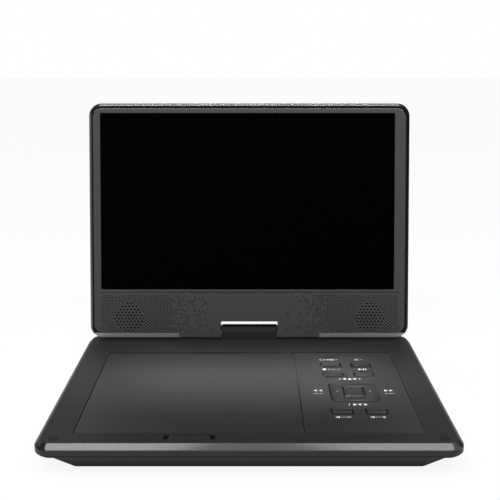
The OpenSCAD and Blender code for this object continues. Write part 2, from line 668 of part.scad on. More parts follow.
module enter_key() color([0.15, 0.15, 0.155]) translate([key_cx, ring_cy, 0]) {
    plate(ok_w, ok_d, 1.2, key_z0 - e, z_inset + key_proud - key_z0 + e);
    plate(ok_w + 2, ok_d + 2, 1.2, key_z0 - flange_k, flange_k);
    translate([0, 0, stem_z]) cylinder(r = 1.5, h = key_z0 - stem_z);
}

module power_switch() color([0.2, 0.2, 0.21]) difference() {
    block([jack_x + 4, switch_y - switch_w/2, z_flange + flange_t + 0.05], [base_w/2 - wall - fit, switch_y + switch_w/2, z_under - 0.1]);
    block([base_w/2 - wall - 3, switch_y - 4, jack_z - 1.3], [base_w/2, switch_y + 4, jack_z + 1.3]);
}

module power_knob() color([0.7, 0.7, 0.72])
    block([base_w/2 - wall - 2.8, switch_y - 3.6, jack_z - knob_h/2], [base_w/2 - 0.4, switch_y - 3.6 + knob_l, jack_z + knob_h/2]);

module jack(y, bore) difference() {
    union() {
        block([jack_x, y - 3.6, z_flange + flange_t + 0.05], [base_w/2 - wall - fit, y + 3.6, z_flange + flange_t + 0.05 + jack_body]);
        translate([0, y, jack_z]) rod_x(nose_r, jack_x + jack_l - e, nose_x);
    }
    translate([0, y, jack_z]) rod_x(bore, jack_x + 1, base_w/2);
}

module headphone_jack() color([0.12, 0.12, 0.12]) jack(jack_ys[0], jack_r);
module av_jack() color([0.75, 0.65, 0.15]) jack(jack_ys[1], jack_r);
module power_jack() color([0.1, 0.1, 0.1]) {
    jack(jack_ys[2], power_r);
    translate([0, jack_ys[2], jack_z]) rod_x(0.85, jack_x + 0.9, base_w/2 - wall - 1.5);
}

// ---- Hinge ----

bracket_holes = [for (sx = [-1, 1], sy = [-1, 1]) [sx*16, bracket_y + sy*4.6]];
module swivel_bracket() color([0.6, 0.6, 0.62]) difference() {
    translate([0, bracket_y, z_under - bracket_t]) linear_extrude(bracket_t) rrect(bracket_w, bracket_d, 2);
    translate([0, axis_y, z_under - bracket_t - 1]) cylinder(r = swivel_r + run_fit, h = bracket_t + 2);
    for (p = bracket_holes) translate([p[0], p[1], z_under - bracket_t - 1]) cylinder(r = 1.25, h = bracket_t + 2);
}

module bracket_screws() color([0.35, 0.35, 0.37]) for (p = bracket_holes) translate([p[0], p[1], z_under - bracket_t - 1.4]) {
    cylinder(r = 2.2, h = 1.4);
    cylinder(r = 1.2, h = bracket_t + 2.7);
}

// Side section of the hinge block, across from its front and up from the tilt axis
block_face = [-block_t/2, -block_lip];
block_ridge = block_top - 0.1;
block_turn = atan2(block_face[1], block_face[0]) - acos(block_ridge/norm(block_face));
module block_section() polygon([[-block_t/2, block_z - axis_z], block_face,
    block_ridge*[cos(block_turn), sin(block_turn)], [0, 0], [block_t/2, 0], [block_t/2, block_z - axis_z]]);

module hinge_block() color([0.12, 0.12, 0.125]) difference() {
    translate([0, axis_y, axis_z]) {
        rotate([90, 0, 90]) translate([0, 0, -block_w/2]) linear_extrude(block_w) block_section();
        rod_x(block_top, -block_w/2, block_w/2);
    }
    translate([0, axis_y, block_z - 1]) cylinder(r = swivel_r, h = 5.6);
    for (s = [-1, 1]) translate([s*block_w/2, axis_y, axis_z]) rod_x(tilt_pin_r, -8, 8);
}

module swivel_shaft() color([0.65, 0.65, 0.67]) translate([0, axis_y, 0]) {
    translate([0, 0, shaft_z0]) cylinder(r = swivel_r, h = block_z + 4.6 - shaft_z0);
    translate([0, 0, z_deck + 0.1]) cylinder(r = collar_r, h = block_z - z_deck - 0.1);
}

module swivel_washer() color([0.5, 0.5, 0.52]) translate([0, axis_y, z_under - bracket_t - 2.1]) difference() {
    cylinder(r = hinge_edge - wall - 0.2, h = 2);
    translate([0, 0, -1]) cylinder(r = swivel_r, h = 5);
}

module tilt_pins() color([0.65, 0.65, 0.67]) each_side() translate([0, axis_y, axis_z])
    rod_x(tilt_pin_r, pin_x0, knuckle_x1 - 1);

// ---- Lid ----

module lid_envelope() difference() {
    translate([0, lid_mid, -back_off]) slab(lid_w, lid_h, lid_t, corner_r, back_bevel, lid_bevel);
    // Deeper bevel along the lower edge
    rotate([90, 0, 90]) translate([0, 0, -lid_w/2 - 1]) linear_extrude(lid_w + 2)
        polygon([[-hinge_edge - 1, front_off - low_bevel - 1], [-hinge_edge - 1, front_off + 1],
            [-hinge_edge + low_bevel + 1, front_off + 1]]);
}

// Front opening of the back cover, where the bezel sits
module bezel_field(gap, z, h) {
    x = lid_w/2 - ring_edge + gap;
    y0 = -hinge_edge + low_bevel - gap;
    y1 = lid_top - ring_top + gap;
    translate([0, (y0 + y1)/2, z]) linear_extrude(h) rrect(2*x, y1 - y0, corner_r - ring_edge + gap);
}

module notch(grow, y_top) block([-block_w/2 - notch_gap - grow, -hinge_edge - 5, -back_off - 1],
                                [block_w/2 + notch_gap + grow, y_top, front_off + 1]);

lcd_posts = [for (x = [win_x0 + 6, 0, win_x1 - 6], y = [win_y0 + 6, win_y1 - 6]) [x, y]];
lcd_board_posts = [for (x = [-44, 44], y = [lid_mid - 18, lid_mid + 18]) [x, y]];
board_back = -3.7;

module lid_back_cover() color([0.07, 0.07, 0.075]) at_lid() difference() {
    union() {
        difference() {
            lid_envelope();
            translate([0, lid_mid, inner_z]) slab(lid_w - 2*lid_wall - 0.4, lid_h - 2*lid_wall - 0.4, 2 - inner_z,
                corner_r - lid_wall, back_bevel - 1, 0);
            bezel_field(fit, 1.9, lid_t);
        }
        intersection() {
            lid_envelope();
            block([-block_w/2 - notch_gap - notch_wall, -hinge_edge, -back_off],
                  [block_w/2 + notch_gap + notch_wall, notch_top + notch_wall, bezel_z - fit]);
        }
        for (p = boss_plugs) translate([p[0], p[1], inner_z - 0.5]) cylinder(r = 3, h = 3.8 - inner_z);
        for (p = lcd_posts) translate([p[0], p[1], inner_z - 0.5]) cylinder(r = 2.5, h = lcd_z - 0.1 - inner_z + 0.5);
        for (p = lcd_board_posts) translate([p[0], p[1], inner_z - 0.5]) cylinder(r = 2.5, h = board_back - inner_z + 0.5);
        for (s = [-1, 1], y = leaf_holes) translate([s*leaf_hole_x, y, inner_z - 0.5]) cylinder(r = 3, h = leaf_z - inner_z + 0.5);
    }
    notch(0, notch_top);
    for (s = [-1, 1]) translate([s*block_w/2, 0, 0]) rod_x(tilt_pin_r + 0.3, -6, 6);
    // The bezel wraps round the middle of the lower edge
    block([-wrap_x - fit, -hinge_edge - 1, -fit], [wrap_x + fit, -hinge_edge + low_bevel, front_off + 1]);
    for (p = boss_plugs) translate([p[0], p[1], inner_z + 1]) cylinder(r = 1.05, h = 20);
    for (s = [-1, 1], y = leaf_holes) translate([s*leaf_hole_x, y, inner_z - 0.9]) cylinder(r = 1.25, h = 10);
}

module speaker_holes() for (i = [0:len(hole_rows) - 1]) for (j = [0:hole_rows[i] - 1])
    translate([(j - (hole_rows[i] - 1)/2)*hole_pitch, (i - 4.5)*hole_step, 0]) circle(hole_r, $fn = 16);

module lid_front_bezel() color([0.2, 0.2, 0.205]) at_lid() difference() {
    union() {
        bezel_field(0, bezel_z, bezel_t);
        difference() {
            intersection() {
                lid_envelope();
                block([-wrap_x, -hinge_edge - 1, 0], [wrap_x, -hinge_edge + low_bevel, front_off + 1]);
            }
            block([-wrap_x - 1, -hinge_edge + bezel_t, -1], [wrap_x + 1, 0, front_off - low_bevel]);
        }
        for (p = plugs) translate([p[0], p[1], bezel_z - 0.6]) cylinder(r = 3, h = 1);
    }
    notch(0, notch_top);
    translate([(win_x0 + win_x1)/2, (win_y0 + win_y1)/2, bezel_z - 1]) linear_extrude(bezel_t + 2)
        rrect(win_x1 - win_x0, win_y1 - win_y0, win_r);
    for (p = plugs) translate([p[0], p[1], 0]) {
        translate([0, 0, bezel_z + 0.1]) cylinder(r = plug_r, h = 5);
        translate([0, 0, bezel_z - 2]) cylinder(r = 1.15, h = 5);
    }
    for (s = [-1, 1]) translate([s*speaker_x, speaker_y, bezel_z - 1]) linear_extrude(bezel_t + 2) speaker_holes();
    // Clearance round the pins and knuckles behind the wrapped edge
    for (s = [-1, 1]) translate([s*(block_w/2 + 7.5), 0, 0]) rod_x(knuckle_r + 0.3, -8.5, 8.5);
}

module screen_window() color([0.01, 0.01, 0.012]) at_lid()
    translate([(win_x0 + win_x1)/2, (win_y0 + win_y1)/2, bezel_z + 0.1]) linear_extrude(1.3)
        rrect(win_x1 - win_x0 - 0.2, win_y1 - win_y0 - 0.2, win_r - 0.1);

module lcd_panel() color([0.55, 0.56, 0.58]) at_lid()
    translate([(win_x0 + win_x1)/2, (win_y0 + win_y1)/2, lcd_z]) linear_extrude(lcd_t)
        rrect(win_x1 - win_x0 + 2*lcd_edge, win_y1 - win_y0 + 2*lcd_edge, 1.5);

module lcd_board() at_lid() {
    color([0.05, 0.3, 0.15]) block([-50, lid_mid - 24, board_back], [50, lid_mid + 24, board_back + 1.2]);
    color([0.08, 0.08, 0.08]) for (x = [-30, 4, 24]) block([x, lid_mid - 8, board_back + 1.1], [x + 12, lid_mid + 6, board_back + 2.4]);
}

module speaker(s) color([0.1, 0.1, 0.1]) at_lid() translate([s*speaker_x, speaker_y, 0]) difference() {
    union() {
        translate([0, 0, bezel_z - 3.9]) cylinder(r = speaker_r, h = 3.8);
        translate([0, 0, bezel_z - 7.4]) cylinder(r = 8, h = 3.6);
    }
    translate([0, 0, bezel_z - 1.1]) cylinder(r = speaker_r - 1.5, h = 3);
}
module speaker_left() speaker(-1);
module speaker_right() speaker(1);

module lid_screws() color([0.35, 0.35, 0.37]) at_lid() for (p = plugs) {
    side = abs(p[0]) > 60;
    translate([p[0], p[1], bezel_z + 0.1]) cylinder(r = 1.8, h = 0.7);
    translate([p[0], p[1], side ? 0 : 2.4]) cylinder(r = 1, h = bezel_z + 0.2 - (side ? 0 : 2.4));
}

module screw_plugs() color([0.16, 0.16, 0.16]) at_lid() for (p = plugs)
    translate([p[0], p[1], bezel_z + 0.8]) cylinder(r = plug_r - 0.03, h = bezel_t - 0.85);

module hinge_leaves() color([0.6, 0.6, 0.62]) at_lid() each_side() difference() {
    union() {
        rod_x(knuckle_r, knuckle_x0, knuckle_x1);
        block([knuckle_x0, 0, leaf_z], [knuckle_x1, knuckle_r + 1, leaf_z + leaf_t]);
        block([knuckle_x0, knuckle_r, leaf_z], [leaf_x1, leaf_top, leaf_z + leaf_t]);
    }
    rod_x(tilt_pin_r + run_fit, knuckle_x0 - 1, knuckle_x1 + 1);
    for (y = leaf_holes) translate([leaf_hole_x, y, leaf_z - 1]) cylinder(r = 1.25, h = 4);
    translate([mid_plug[0], mid_plug[1], 2.3]) cylinder(r = 1.05, h = 4);
}

module leaf_screws() color([0.35, 0.35, 0.37]) at_lid() for (s = [-1, 1], y = leaf_holes) {
    translate([s*leaf_hole_x, y, leaf_z + leaf_t]) cylinder(r = 2.2, h = 1.2);
    translate([s*leaf_hole_x, y, inner_z - 0.8]) cylinder(r = 1.2, h = leaf_z + leaf_t - inner_z + 0.9);
}

at_table() base_top_shell();
at_table() base_bottom_shell();
at_table() rubber_feet();
at_table() base_screws();
at_table() disc_tray();
at_table() disc_cover();
at_table() cover_pins();
at_table() cover_spring();
at_table() open_slider();
at_table() latch_keeper();
at_table() latch_spring();
at_table() drive_chassis();
at_table() drive_dampers();
at_table() drive_screws();
at_table() spindle_motor();
at_table() spindle_shaft();
at_table() turntable();
at_table() turntable_pad();
at_table() clamp_balls();
at_table() guide_rods();
at_table() pickup_sled();
at_table() pickup_lens();
at_table() lead_screw();
at_table() sled_motor();
at_table() main_board();
at_table() battery_pack();
at_table() key_board();
at_table() tact_switches();
at_table() key(0);  // key_source
at_table() key(1);  // key_menu
at_table() key(2);  // key_stop
at_table() key(3);  // key_play
at_table() key(4);  // key_volume_down
at_table() key(5);  // key_volume_up
at_table() navigation_ring();
at_table() enter_key();
at_table() power_switch();
at_table() power_knob();
at_table() headphone_jack();
at_table() av_jack();
at_table() power_jack();
at_table() swivel_bracket();
at_table() bracket_screws();
at_table() hinge_block();
at_table() swivel_shaft();
at_table() swivel_washer();
at_table() tilt_pins();
at_table() lid_back_cover();
at_table() lid_front_bezel();
at_table() screen_window();
at_table() lcd_panel();
at_table() lcd_board();
at_table() speaker_left();
at_table() speaker_right();
at_table() lid_screws();
at_table() screw_plugs();
at_table() hinge_leaves();
at_table() leaf_screws();
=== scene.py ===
import json
import math

import bmesh
import bpy
from mathutils import Matrix, Vector


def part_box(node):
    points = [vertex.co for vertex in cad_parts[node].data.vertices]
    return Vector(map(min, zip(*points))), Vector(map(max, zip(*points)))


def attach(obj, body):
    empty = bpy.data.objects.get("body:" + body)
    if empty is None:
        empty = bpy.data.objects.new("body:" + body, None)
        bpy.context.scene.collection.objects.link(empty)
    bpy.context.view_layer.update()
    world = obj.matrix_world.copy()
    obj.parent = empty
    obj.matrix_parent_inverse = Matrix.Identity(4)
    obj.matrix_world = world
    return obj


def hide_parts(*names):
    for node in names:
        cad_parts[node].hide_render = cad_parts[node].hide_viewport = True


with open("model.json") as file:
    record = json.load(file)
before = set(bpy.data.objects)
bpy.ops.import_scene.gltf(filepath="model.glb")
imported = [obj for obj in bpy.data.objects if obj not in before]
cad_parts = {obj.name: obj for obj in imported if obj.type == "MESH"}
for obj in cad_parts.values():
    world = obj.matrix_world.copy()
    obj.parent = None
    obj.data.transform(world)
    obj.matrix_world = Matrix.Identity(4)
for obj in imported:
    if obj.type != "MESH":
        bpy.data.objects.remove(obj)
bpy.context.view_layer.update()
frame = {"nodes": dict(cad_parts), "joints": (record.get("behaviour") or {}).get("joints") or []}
mm = 0.001
onLevel = 0.01 * mm  # how far from a level a corner may lie and still be on it
print("frame loaded:", len(frame["nodes"]), "nodes")

shellLo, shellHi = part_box("base_top_shell")
coverLo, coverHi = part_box("disc_cover")
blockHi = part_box("hinge_block")[1]
hingePadHigh = 0.4 * mm
deckZ = shellHi.z - hingePadHigh
insetZ = coverHi.z
baseMid = (shellLo.y + shellHi.y) / 2
tilt = next(j for j in frame["joints"] if j["name"] == "screen_tilt")
tiltAt = Vector(tilt["pos_m"])
lean = math.radians(90 + tilt["range_deg"][0])

# The lid's own plan: x across, y up the lid from the tilt axis, z out of its front
lidFrame = Matrix.Translation(tiltAt) @ Matrix.Rotation(math.radians(90) + lean, 4, "X")


def nodeMid(node):
    low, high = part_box(node)
    return (low + high) / 2, low, high


# Corners of a node in the lid's own plan
def lidBox(node):
    back = lidFrame.inverted()
    points = [back @ v.co for v in frame["nodes"][node].data.vertices]
    low = Vector([min(p[i] for p in points) for i in range(3)])
    high = Vector([max(p[i] for p in points) for i in range(3)])
    return low, high


lidLo, lidHi = lidBox("lid_back_cover")
bezelLo, bezelHi = lidBox("lid_front_bezel")
windowLo = lidBox("screen_window")[0]


cameraSet = {"lens": 57.78, "pitch": 14.21, "back": 518.2 * mm, "above": 228.2 * mm, "side": 0.5 * mm,
             "bevel": 3.2 * mm}


def addCamera():
    data = bpy.data.cameras.new("camera")
    data.lens = cameraSet["lens"]
    data.sensor_width = 36
    camera = bpy.data.objects.new("camera", data)
    bpy.context.scene.collection.objects.link(camera)
    camera.location = (cameraSet["side"], baseMid - cameraSet["back"],
                       deckZ - cameraSet["bevel"] + cameraSet["above"])
    camera.rotation_euler = (math.radians(90 - cameraSet["pitch"]), 0, 0)
    bpy.context.scene.camera = camera


addCamera()
print("camera placed")


def newGroup(name, inputs, outputs):
    group = bpy.data.node_groups.new(name, "ShaderNodeTree")
    for label, kind, value in inputs:
        socket = group.interface.new_socket(label, in_out="INPUT", socket_type=kind)
        socket.default_value = value
    for label, kind in outputs:
        group.interface.new_socket(label, in_out="OUTPUT", socket_type=kind)
    return group, group.nodes.new("NodeGroupInput"), group.nodes.new("NodeGroupOutput")


def addNode(tree, kind, **values):
    node = tree.nodes.new(kind)
    for key, value in values.items():
        setattr(node, key, value)
    return node


def mathNode(tree, operation, a, b=None):
    node = addNode(tree, "ShaderNodeMath", operation=operation)
    for slot, value in enumerate((a, b)):
        if value is None:
            continue
        if isinstance(value, (int, float)):
            node.inputs[slot].default_value = value
        else:
            tree.links.new(value, node.inputs[slot])
    return node.outputs[0]


def noiseNode(tree, coords, scale, detail=2.0, roughness=0.5):
    node = addNode(tree, "ShaderNodeTexNoise")
    node.inputs["Detail"].default_value = detail
    node.inputs["Roughness"].default_value = roughness
    tree.links.new(coords, node.inputs["Vector"])
    if isinstance(scale, (int, float)):
        node.inputs["Scale"].default_value = scale
    else:
        tree.links.new(scale, node.inputs["Scale"])
    return node.outputs["Fac"]


def rangeNode(tree, value, low, high, toLow, toHigh):
    node = addNode(tree, "ShaderNodeMapRange")
    tree.links.new(value, node.inputs["Value"])
    for label, number in (("From Min", low), ("From Max", high), ("To Min", toLow), ("To Max", toHigh)):
        if isinstance(number, (int, float)):
            node.inputs[label].default_value = number
        else:
            tree.links.new(number, node.inputs[label])
    return node.outputs["Result"]


def mixColor(tree, factor, a, b, blend="MIX"):
    node = addNode(tree, "ShaderNodeMix", data_type="RGBA", blend_type=blend)
    if isinstance(factor, (int, float)):
        node.inputs["Factor"].default_value = factor
    else:
        tree.links.new(factor, node.inputs["Factor"])
    for label, value in (("A", a), ("B", b)):
        socket = [s for s in node.inputs if s.name == label and s.type == "RGBA"][0]
        if isinstance(value, (tuple, list)):
            socket.default_value = value
        else:
            tree.links.new(value, socket)
    return [s for s in node.outputs if s.type == "RGBA"][0]


# Spark-eroded mould texture: a fine height, and a tone that drifts a little
def buildGrain():
    group, inside, out = newGroup(
        "mouldGrain",
        [("Scale", "NodeSocketFloat", 2600.0), ("Colour", "NodeSocketColor", (0.05, 0.05, 0.05, 1)),
         ("Drift", "NodeSocketFloat", 0.1), ("Roughness", "NodeSocketFloat", 0.45),
         ("Spread", "NodeSocketFloat", 0.05)],
        [("Colour", "NodeSocketColor"), ("Roughness", "NodeSocketFloat"), ("Height", "NodeSocketFloat")])
    coords = addNode(group, "ShaderNodeTexCoord").outputs["Object"]
    fine = noiseNode(group, coords, inside.outputs["Scale"], 3.0, 0.6)
    slow = noiseNode(group, coords, 38.0, 3.0, 0.55)
    gain = mathNode(group, "MULTIPLY_ADD", mathNode(group, "SUBTRACT", slow, 0.5), inside.outputs["Drift"])
    gain.node.inputs[2].default_value = 1.0
    speck = rangeNode(group, fine, 0.3, 0.7, 0.93, 1.07)
    tone = mathNode(group, "MULTIPLY", gain, speck)
    colour = addNode(group, "ShaderNodeVectorMath", operation="SCALE")
    group.links.new(inside.outputs["Colour"], colour.inputs[0])
    group.links.new(tone, colour.inputs["Scale"])
    rough = mathNode(group, "MULTIPLY_ADD", mathNode(group, "SUBTRACT", slow, 0.5), inside.outputs["Spread"])
    group.links.new(inside.outputs["Roughness"], rough.node.inputs[2])
    group.links.new(colour.outputs[0], out.inputs["Colour"])
    group.links.new(rough, out.inputs["Roughness"])
    group.links.new(fine, out.inputs["Height"])
    return group


# Polished plastic: faint haze and hairlines in the gloss
def buildSheen():
    group, inside, out = newGroup(
        "polish", [("Base", "NodeSocketFloat", 0.08), ("Haze", "NodeSocketFloat", 0.06)],
        [("Roughness", "NodeSocketFloat"), ("Height", "NodeSocketFloat")])
    coords = addNode(group, "ShaderNodeTexCoord").outputs["Object"]
    slow = noiseNode(group, coords, 22.0, 4.0, 0.6)
    fine = noiseNode(group, coords, 420.0, 2.0, 0.5)
    haze = mathNode(group, "MULTIPLY", rangeNode(group, slow, 0.35, 0.75, 0.0, 1.0), inside.outputs["Haze"])
    group.links.new(mathNode(group, "ADD", inside.outputs["Base"], haze), out.inputs["Roughness"])
    group.links.new(fine, out.inputs["Height"])
    return group


# Drawn or turned metal: long fine streaks
def buildBrush():
    group, inside, out = newGroup(
        "brushedMetal",
        [("Colour", "NodeSocketColor", (0.5, 0.5, 0.5, 1)), ("Roughness", "NodeSocketFloat", 0.3)],
        [("Colour", "NodeSocketColor"), ("Roughness", "NodeSocketFloat"), ("Height", "NodeSocketFloat")])
    coords = addNode(group, "ShaderNodeTexCoord").outputs["Object"]
    stretch = addNode(group, "ShaderNodeMapping")
    stretch.inputs["Scale"].default_value = (60, 3500, 3500)
    group.links.new(coords, stretch.inputs["Vector"])
    streak = noiseNode(group, stretch.outputs[0], 1.0, 3.0, 0.6)
    colour = addNode(group, "ShaderNodeVectorMath", operation="SCALE")
    group.links.new(inside.outputs["Colour"], colour.inputs[0])
    group.links.new(rangeNode(group, streak, 0.3, 0.7, 0.85, 1.1), colour.inputs["Scale"])
    group.links.new(colour.outputs[0], out.inputs["Colour"])
    rough = mathNode(group, "MULTIPLY_ADD", mathNode(group, "SUBTRACT", streak, 0.5), 0.25)
    group.links.new(inside.outputs["Roughness"], rough.node.inputs[2])
    group.links.new(rough, out.inputs["Roughness"])
    group.links.new(streak, out.inputs["Height"])
    return group


grainGroup = buildGrain()
sheenGroup = buildSheen()
brushGroup = buildBrush()


def newMaterial(name):
    material = bpy.data.materials.new(name)
    material.use_nodes = True
    tree = material.node_tree
    return material, tree, tree.nodes["Principled BSDF"]


def addBump(tree, shader, height, distance):
    bump = addNode(tree, "ShaderNodeBump")
    bump.inputs["Strength"].default_value = 1.0
    bump.inputs["Distance"].default_value = distance
    tree.links.new(height, bump.inputs["Height"])
    tree.links.new(bump.outputs["Normal"], shader.inputs["Normal"])


def placeGroup(tree, group, values):
    node = addNode(tree, "ShaderNodeGroup", node_tree=group)
    for label, value in values.items():
        node.inputs[label].default_value = value
    return node


def grey(level, tint=0.0):
    return (level * (1 - tint), level, level * (1 + tint), 1)


def satinPlastic(name, level, roughness=0.45, scale=2600.0, depth=0.02 * mm, specular=0.5):
    material, tree, shader = newMaterial(name)
    grain = placeGroup(tree, grainGroup, {
        "Scale": scale, "Colour": grey(level, 0.01), "Drift": 0.1, "Roughness": roughness, "Spread": 0.08})
    tree.links.new(grain.outputs["Colour"], shader.inputs["Base Color"])
    tree.links.new(grain.outputs["Roughness"], shader.inputs["Roughness"])
    shader.inputs["Specular IOR Level"].default_value = specular
    addBump(tree, shader, grain.outputs["Height"], depth)
    return material


def glossPlastic(name, level, base=0.08, haze=0.06, specular=0.5, coat=0.0, metallic=0.0):
    material, tree, shader = newMaterial(name)
    polish = placeGroup(tree, sheenGroup, {"Base": base, "Haze": haze})
    shader.inputs["Base Color"].default_value = grey(level, 0.01)
    shader.inputs["Metallic"].default_value = metallic
    tree.links.new(polish.outputs["Roughness"], shader.inputs["Roughness"])
    shader.inputs["Specular IOR Level"].default_value = specular
    shader.inputs["Coat Weight"].default_value = coat
    addBump(tree, shader, polish.outputs["Height"], 0.004 * mm)
    return material


def metal(name, colour, roughness=0.3):
    material, tree, shader = newMaterial(name)
    brush = placeGroup(tree, brushGroup, {"Colour": (*colour, 1), "Roughness": roughness})
    tree.links.new(brush.outputs["Colour"], shader.inputs["Base Color"])
    tree.links.new(brush.outputs["Roughness"], shader.inputs["Roughness"])
    shader.inputs["Metallic"].default_value = 1.0
    addBump(tree, shader, brush.outputs["Height"], 0.005 * mm)
    return material


def colouredPlastic(name, colour, roughness=0.4):
    material, tree, shader = newMaterial(name)
    grain = placeGroup(tree, grainGroup, {
        "Scale": 1800.0, "Colour": (*colour, 1), "Drift": 0.15, "Roughness": roughness, "Spread": 0.1})
    tree.links.new(grain.outputs["Colour"], shader.inputs["Base Color"])
    tree.links.new(grain.outputs["Roughness"], shader.inputs["Roughness"])
    addBump(tree, shader, grain.outputs["Height"], 0.01 * mm)
    return material


finish = {
    "deck": satinPlastic("deckSatin", 0.020, 0.5, 2400.0, specular=0.2),
    "surround": satinPlastic("surroundSatin", 0.020, 0.45, 2800.0, 0.008 * mm, specular=0.05),
    # Darker copy of the shell's plastic for its undersides, painted shade
    "under": satinPlastic("underPaintedShadeSatin", 0.006, 0.5, specular=0.1),
    "rim": glossPlastic("rimGloss", 0.040, 0.14, 0.05),
    # Paler, nearly matt copy of the shell's plastic for the rim's side chamfers, a painted highlight
    "rimSidePaintedSheen": satinPlastic("rimSidePaintedSheen", 0.06, 0.5, 2800.0, 0.008 * mm, specular=0.04),
    # Darker copy of the shell's plastic for its walls and the insides of its openings, painted shade
    "wall": satinPlastic("wallPaintedShadeSatin", 0.014, 0.45, specular=0.25),
    "pan": satinPlastic("panSatin", 0.016, 0.5, 1500.0, 0.03 * mm, specular=0.25),
    "bezel": satinPlastic("bezelMatt", 0.038, 0.5, 2200.0, 0.02 * mm, specular=0.3),
    # Pale copy of the bezel's plastic for its lower wrap, painted light on faces that look down
    "bezelWrapPaintedLight": satinPlastic("bezelWrapPaintedLight", 0.24, 0.5, 2200.0, 0.02 * mm),
    # Near-black copy of the bezel's plastic for the dimple cups, the groove and the hole walls, painted shade
    "bezelPitPaintedShade": satinPlastic("bezelPitPaintedShade", 0.005, 0.6, specular=0.1),
    "lidBack": glossPlastic("pianoBlack", 0.006, 0.06, 0.05, 0.5, 0.3),
    # Near-black ring material, painted shade on the lid's ring and right bevels and on the top shell's corner
    # facets
    "lidRingPaintedShade": glossPlastic("lidRingPaintedShade", 0.002, 0.12, 0.05, 0.12),
    "lidTrim": glossPlastic("lidTrim", 0.20, 0.32, 0.06, 0.5, 0.0, 1.0),
    "lidSide": glossPlastic("lidSide", 0.006, 0.12, 0.05, 0.9),
    # Pale copy for the bevel along the lid's foot, a painted reflection of the bright front
    "lidFootPaintedSheen": glossPlastic("lidFootPaintedSheen", 0.75, 0.35, 0.08),
    "pad": satinPlastic("padRubber", 0.015, 0.5, 900.0, 0.008 * mm, specular=0.05),
    "hinge": satinPlastic("hingeSatin", 0.016, 0.4),
    # Near-black copy of the hinge's plastic for the block's slope, painted shade
    "hingeTopPaintedShade": glossPlastic("hingeTopPaintedShade", 0.003, 0.4, 0.05, 0.12),
    "key": satinPlastic("keySatin", 0.015, 0.4, 3000.0, 0.01 * mm),
    # Near-black finish for the speakers behind the bezel's holes: their own black, darkened further as painted
    # shade in the holes
    "slot": satinPlastic("speakerPaintedShadeBlack", 0.003, 0.7, specular=0.05),
    "tray": satinPlastic("trayMatt", 0.02, 0.55, 1500.0),
    "rubber": satinPlastic("rubberMatt", 0.02, 0.75, 900.0, 0.05 * mm),
    "ink": colouredPlastic("whiteInk", (0.75, 0.75, 0.75), 0.5),
    "steel": metal("brightSteel", (0.6, 0.6, 0.61), 0.25),
    "zinc": metal("zincSheet", (0.42, 0.43, 0.44), 0.38),
    "darkScrew": metal("blackSteel", (0.05, 0.05, 0.055), 0.4),
    "board": colouredPlastic("solderMask", (0.01, 0.11, 0.045), 0.3),
    "chip": colouredPlastic("chipBlack", (0.02, 0.02, 0.02), 0.45),
    "battery": colouredPlastic("batteryWrap", (0.03, 0.06, 0.16), 0.25),
    "yellow": colouredPlastic("jackYellow", (0.5, 0.35, 0.02), 0.4),
    "silver": metal("knobSilver", (0.5, 0.5, 0.51), 0.3),
}


def screenGlass():
    material, tree, shader = newMaterial("screenGlass")
    polish = placeGroup(tree, sheenGroup, {"Base": 0.05, "Haze": 0.03})
    shader.inputs["Base Color"].default_value = (0.0003, 0.0003, 0.0004, 1)
    tree.links.new(polish.outputs["Roughness"], shader.inputs["Roughness"])
    shader.inputs["Specular IOR Level"].default_value = 0.012
    return material


def lensGlass():
    material, tree, shader = newMaterial("coatedLens")
    polish = placeGroup(tree, sheenGroup, {"Base": 0.04, "Haze": 0.02})
    shader.inputs["Base Color"].default_value = (0.10, 0.05, 0.22, 1)
    tree.links.new(polish.outputs["Roughness"], shader.inputs["Roughness"])
    shader.inputs["Coat Weight"].default_value = 1.0
    return material


finish["screen"] = screenGlass()
finish["lens"] = lensGlass()
print("materials built:", len(finish))


# The node's solid as one joined mesh with its flat faces made whole
def cadCopy(node, flat=0.6):
    bm = bmesh.new()
    bm.from_mesh(frame["nodes"][node].data)
    bmesh.ops.remove_doubles(bm, verts=bm.verts, dist=2e-6)
    bmesh.ops.dissolve_degenerate(bm, edges=bm.edges, dist=1e-6)
    bmesh.ops.dissolve_limit(bm, angle_limit=math.radians(flat), verts=bm.verts, edges=bm.edges,
                             use_dissolve_boundaries=False)
    return bm


def sharpEdges(bm, limit=28.0, keep=None):
    found = []
    for edge in bm.edges:
        if len(edge.link_faces) == 2 and edge.calc_face_angle(0) > math.radians(limit):
            if keep is None or keep(edge):
                found.append(edge)
    return found


def soften(bm, radius, segments=2, limit=28.0, keep=None):
    edges = sharpEdges(bm, limit, keep)
    if edges:
        bmesh.ops.bevel(bm, geom=edges, offset=radius, offset_type="OFFSET", segments=segments, profile=0.5,
                        affect="EDGES", clamp_overlap=False, material=-1)


def makePiece(name, bm, body, materials, replaces=(), smooth=32.0, pick=None, level=True):
    bm.normal_update()
    if pick:
        for face in bm.faces:
            face.material_index = pick(face)
    for face in bm.faces:
        face.smooth = True
    for edge in bm.edges:
        edge.smooth = edge.calc_face_angle(math.pi) < math.radians(smooth)
    mesh = bpy.data.meshes.new(name)
    bm.to_mesh(mesh)
    bm.free()
    for material in materials:
        mesh.materials.append(material)
    piece = bpy.data.objects.new(name, mesh)
    bpy.context.scene.collection.objects.link(piece)
    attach(piece, body)
    if replaces:
        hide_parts(*replaces)
    if level:
        weighted = piece.modifiers.new("levelFaces", "WEIGHTED_NORMAL")
        weighted.mode = "FACE_AREA"
        weighted.weight = 100
        weighted.keep_sharp = True


shellLook = {"edge": 0.25 * mm, "segments": 2, "keyEdge": 0.4 * mm, "keyRoom": 3 * mm, "wall": 2.2 * mm,
             "wallBand": 4 * mm, "wallTop": 3.6 * mm}
panLook = {"edge": 0.3 * mm, "segments": 2}


